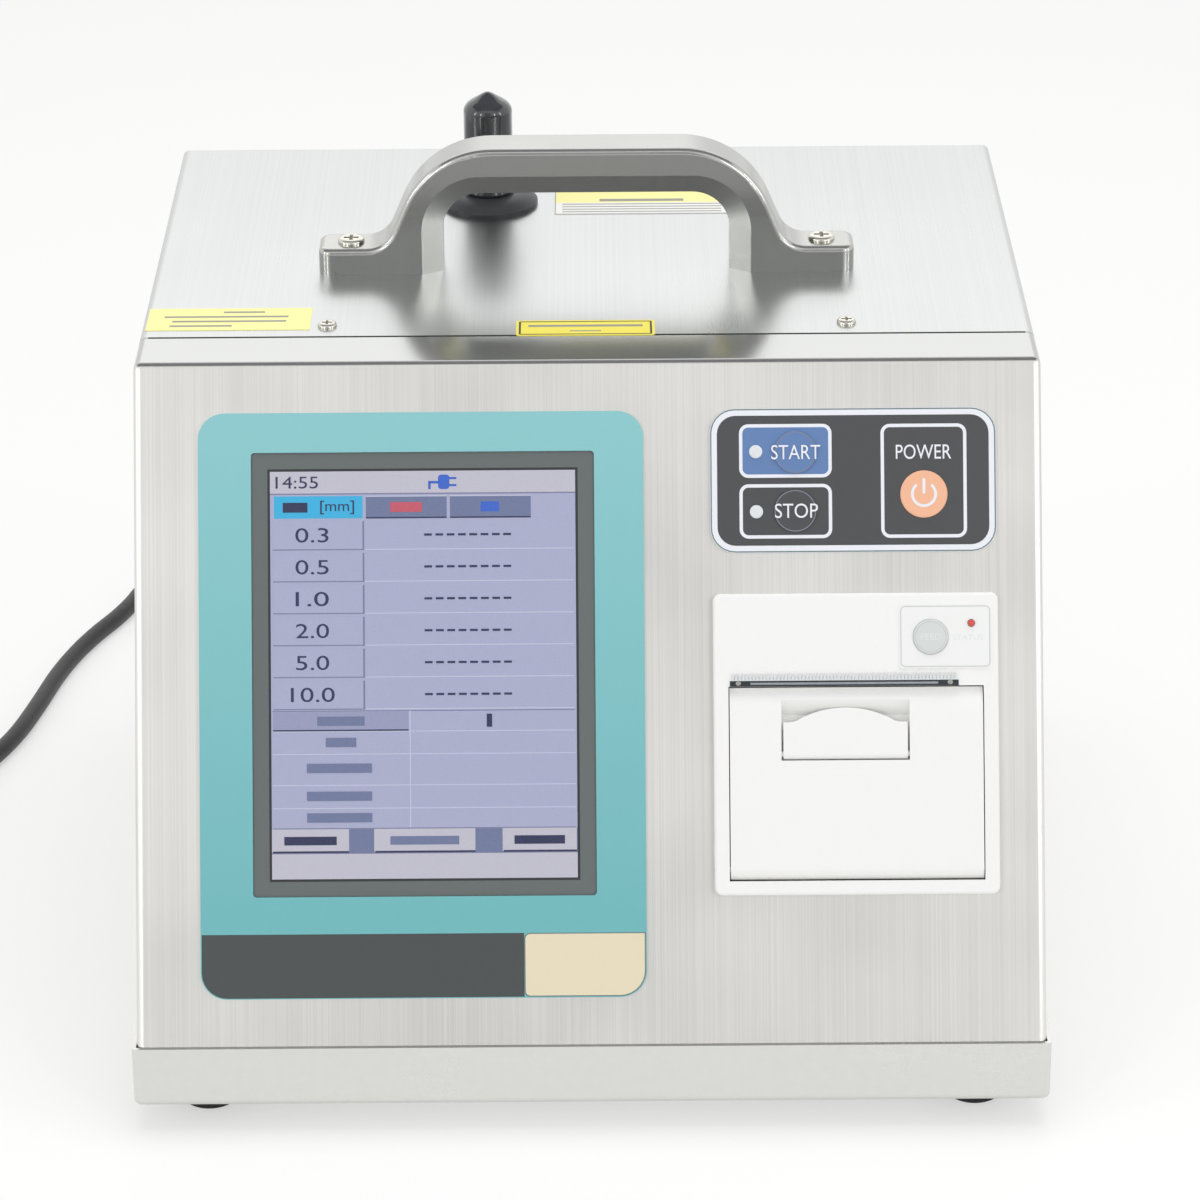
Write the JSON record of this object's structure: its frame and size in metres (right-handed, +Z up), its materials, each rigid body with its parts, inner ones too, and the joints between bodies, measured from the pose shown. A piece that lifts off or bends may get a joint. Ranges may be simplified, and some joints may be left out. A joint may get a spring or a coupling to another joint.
{
  "type": "airborne particle counter",
  "caption": "Benchtop instrument that draws in room air, counts floating particles with a laser and prints the result; leaning front, display, keypad, strip printer, carrying handle.",
  "frame": {"origin": "on the table, below the centre of the base tray", "axes": "+X to the user's right, +Y to the back, +Z up"},
  "size_m": [0.4544, 0.4002, 0.2396],
  "materials": {
    "tray_steel": "mill-finish folded sheet",
    "panel_steel": "satin, brushed down the face",
    "cover_steel": "satin, brushed front to back",
    "handle_metal": "satin cast",
    "screw_steel": "bright",
    "foot_rubber": "matt",
    "flange_plastic": "semi-matt",
    "nozzle_steel": "turned",
    "cap_vinyl": "glossy dipped vinyl",
    "overlay_film": "printed polyester film",
    "touch_glass": "anti-glare touch surface",
    "module_metal": "plated steel frame",
    "board_green": "solder mask",
    "keypad_film": "embossed membrane",
    "key_blue": "embossed membrane",
    "key_orange": "embossed membrane",
    "lamp_clear": "clear lens",
    "printer_white": "fine moulded texture",
    "label_film": "film label",
    "feed_grey": "smooth",
    "lamp_red": "lit lens",
    "blade_steel": "stamped",
    "platen_rubber": "ground",
    "head_metal": "anodised",
    "paper": "thermal paper",
    "sensor_metal": "black anodised",
    "pump_metal": "satin",
    "hose_vinyl": "soft vinyl",
    "filter_plastic": "moulded",
    "port_plastic": "moulded",
    "port_metal": "tin plated",
    "lead_vinyl": "smooth vinyl",
    "tie_vinyl": "strap"
  },
  "bodies": {
    "case": {"base_tray": "tray_steel", "front_panel": "panel_steel", "top_cover": "cover_steel", "rear_panel": "cover_steel", "sensor_bracket": "cover_steel", "handle": "handle_metal", "handle_screws": "screw_steel", "cover_screws": "screw_steel", "rear_screws": "screw_steel", "foot_screws": "screw_steel", "tear_bar_screws": "screw_steel", "hinge_pin": "screw_steel", "feet": "foot_rubber", "pump_mounts": "foot_rubber", "inlet_flange": "flange_plastic", "inlet_nozzle": "nozzle_steel", "display_overlay": "overlay_film", "touch_panel": "touch_glass", "display_module": "module_metal", "main_board": "board_green", "keypad_board": "board_green", "printer_board": "board_green", "detector_board": "board_green", "power_supply": "board_green", "keypad_overlay": "keypad_film", "key_lamps": "lamp_clear", "printer_frame": "printer_white", "feed_label": "label_film", "printer_lamp": "lamp_red", "tear_bar": "blade_steel", "thermal_head": "head_metal", "feed_motor": "head_metal", "laser_module": "head_metal", "paper_roll": "paper", "sensor_block": "sensor_metal", "sample_pump": "pump_metal", "sample_hose": "hose_vinyl", "exhaust_hose": "hose_vinyl", "exhaust_filter": "filter_plastic", "exhaust_port": "port_plastic", "power_inlet": "port_plastic", "serial_port": "port_metal", "cord_lead": "lead_vinyl", "cord_tail": "lead_vinyl", "cord_coil": "lead_vinyl", "cord_connector": "lead_vinyl", "cord_strain_relief": "lead_vinyl", "cord_plug": "lead_vinyl", "cord_tie": "tie_vinyl"},
    "door": {"printer_door": "printer_white"},
    "lever": {"door_lever": "printer_white"},
    "platen": {"platen_roller": "platen_rubber", "platen_shaft": "screw_steel"},
    "start_key": {"start_button": "key_blue"},
    "stop_key": {"stop_button": "key_blue"},
    "power_key": {"power_button": "key_orange"},
    "feed_key": {"feed_button": "feed_grey"},
    "cap": {"inlet_cap": "cap_vinyl"}
  },
  "joints": [
    {"name": "door_hinge", "type": "hinge", "parent": "case", "child": "door", "pos_m": [0.0754, -0.11172, 0.07087], "axis": [1, 0, 0], "range_deg": [0, 80]},
    {"name": "lever_pivot", "type": "hinge", "parent": "door", "child": "lever", "pos_m": [0.0723, -0.09892, 0.10078], "axis": [1, 0, 0], "range_deg": [0, 25], "stiffness_Nm_per_rad": 0.05},
    {"name": "platen_spin", "type": "hinge", "parent": "door", "child": "platen", "pos_m": [0.0754, -0.08576, 0.11008], "axis": [1, 0, 0], "continuous": true},
    {"name": "start_press", "type": "slide", "parent": "case", "child": "start_key", "axis": [0, 0.9003, -0.4352], "range_m": [0, 0.0006], "stiffness_N_per_m": 2500},
    {"name": "stop_press", "type": "slide", "parent": "case", "child": "stop_key", "axis": [0, 0.9003, -0.4352], "range_m": [0, 0.0006], "stiffness_N_per_m": 2500},
    {"name": "power_press", "type": "slide", "parent": "case", "child": "power_key", "axis": [0, 0.9003, -0.4352], "range_m": [0, 0.0006], "stiffness_N_per_m": 2500},
    {"name": "feed_press", "type": "slide", "parent": "case", "child": "feed_key", "axis": [0, 0.9003, -0.4352], "range_m": [0, 0.0008], "stiffness_N_per_m": 2000},
    {"name": "inlet_cap_lift", "type": "slide", "parent": "case", "child": "cap", "axis": [0, 0, 1], "range_m": [0, 0.045]}
  ]
}
